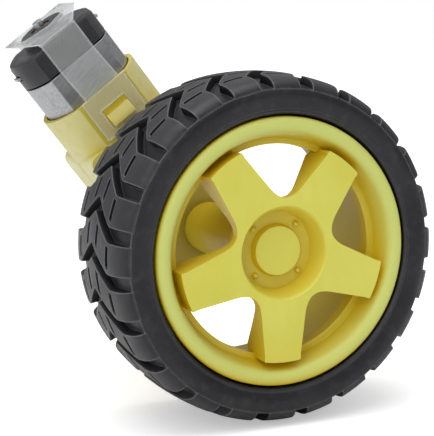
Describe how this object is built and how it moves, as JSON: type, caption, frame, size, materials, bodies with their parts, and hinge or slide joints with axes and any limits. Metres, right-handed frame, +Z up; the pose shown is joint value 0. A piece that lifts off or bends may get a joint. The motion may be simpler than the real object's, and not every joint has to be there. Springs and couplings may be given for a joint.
{
  "type": "robot car drive wheel with gear motor",
  "caption": "Spoked yellow wheel with a chevron-tread rubber tyre on the output shaft of a right-angle plastic gear motor held by a clear strap.",
  "frame": {"origin": "centre of the output shaft's far end face, on the axle", "axes": "+Y along the axle, away from the wheel's outer face; +Z up; the motor points up and towards -X at 52.3 degrees"},
  "size_m": [0.0702, 0.0649, 0.0782],
  "materials": {
    "tyre_rubber": "matt moulded rubber",
    "rim_plastic": "satin moulded lemon yellow",
    "housing_plastic": "satin moulded cream yellow",
    "gear_nylon": "natural nylon",
    "steel": "bright steel",
    "can_steel": "drawn plated steel",
    "brass": "turned brass",
    "copper": "copper",
    "magnet": "sintered ferrite",
    "cap_plastic": "black moulded",
    "strap_plastic": "clear moulded"
  },
  "bodies": {
    "gear_motor": {"housing_wheel_side": "housing_plastic", "housing_far_side": "housing_plastic", "housing_screw_1": "steel", "housing_screw_2": "steel", "housing_screw_3": "steel", "housing_screw_4": "steel", "gear_pin": "steel", "motor_can": "can_steel", "motor_end_cap": "cap_plastic", "magnet_1": "magnet", "magnet_2": "magnet", "front_bush": "brass", "rear_bush": "brass", "brush_1": "copper", "brush_2": "copper", "terminal_1": "steel", "terminal_2": "steel", "motor_strap": "strap_plastic"},
    "wheel": {"tyre": "tyre_rubber", "wheel_rim": "rim_plastic", "output_shaft": "gear_nylon", "output_gear": "gear_nylon"},
    "middle_shaft_gear": {"middle_gear": "gear_nylon"},
    "idler": {"idler_gear": "gear_nylon"},
    "crown": {"crown_gear": "gear_nylon"},
    "rotor": {"motor_shaft": "steel", "motor_pinion": "brass", "armature_core": "can_steel", "commutator": "copper", "winding_1": "copper", "winding_2": "copper", "winding_3": "copper"}
  },
  "joints": [
    {"name": "wheel_spin", "type": "hinge", "parent": "gear_motor", "child": "wheel", "pos_m": [0, -0.0184, 0], "axis": [0, 1, 0], "continuous": true},
    {"name": "middle_gear_spin", "type": "hinge", "parent": "gear_motor", "child": "middle_shaft_gear", "pos_m": [-0.00642, -0.0184, 0.00831], "axis": [0, 1, 0], "continuous": true},
    {"name": "idler_gear_spin", "type": "hinge", "parent": "gear_motor", "child": "idler", "pos_m": [0, -0.0184, 0], "axis": [0, 1, 0], "continuous": true},
    {"name": "crown_gear_spin", "type": "hinge", "parent": "gear_motor", "child": "crown", "pos_m": [-0.00642, -0.0184, 0.00831], "axis": [0, 1, 0], "continuous": true},
    {"name": "rotor_spin", "type": "hinge", "parent": "gear_motor", "child": "rotor", "pos_m": [0, -0.0184, 0], "axis": [-0.6115, 0, 0.7912], "continuous": true}
  ],
  "couplings": [
    {"joint": "middle_gear_spin", "follows": "wheel_spin", "ratio": -2.8182},
    {"joint": "idler_gear_spin", "follows": "wheel_spin", "ratio": 5.0727},
    {"joint": "crown_gear_spin", "follows": "wheel_spin", "ratio": -16.233},
    {"joint": "rotor_spin", "follows": "wheel_spin", "ratio": -48.698}
  ]
}
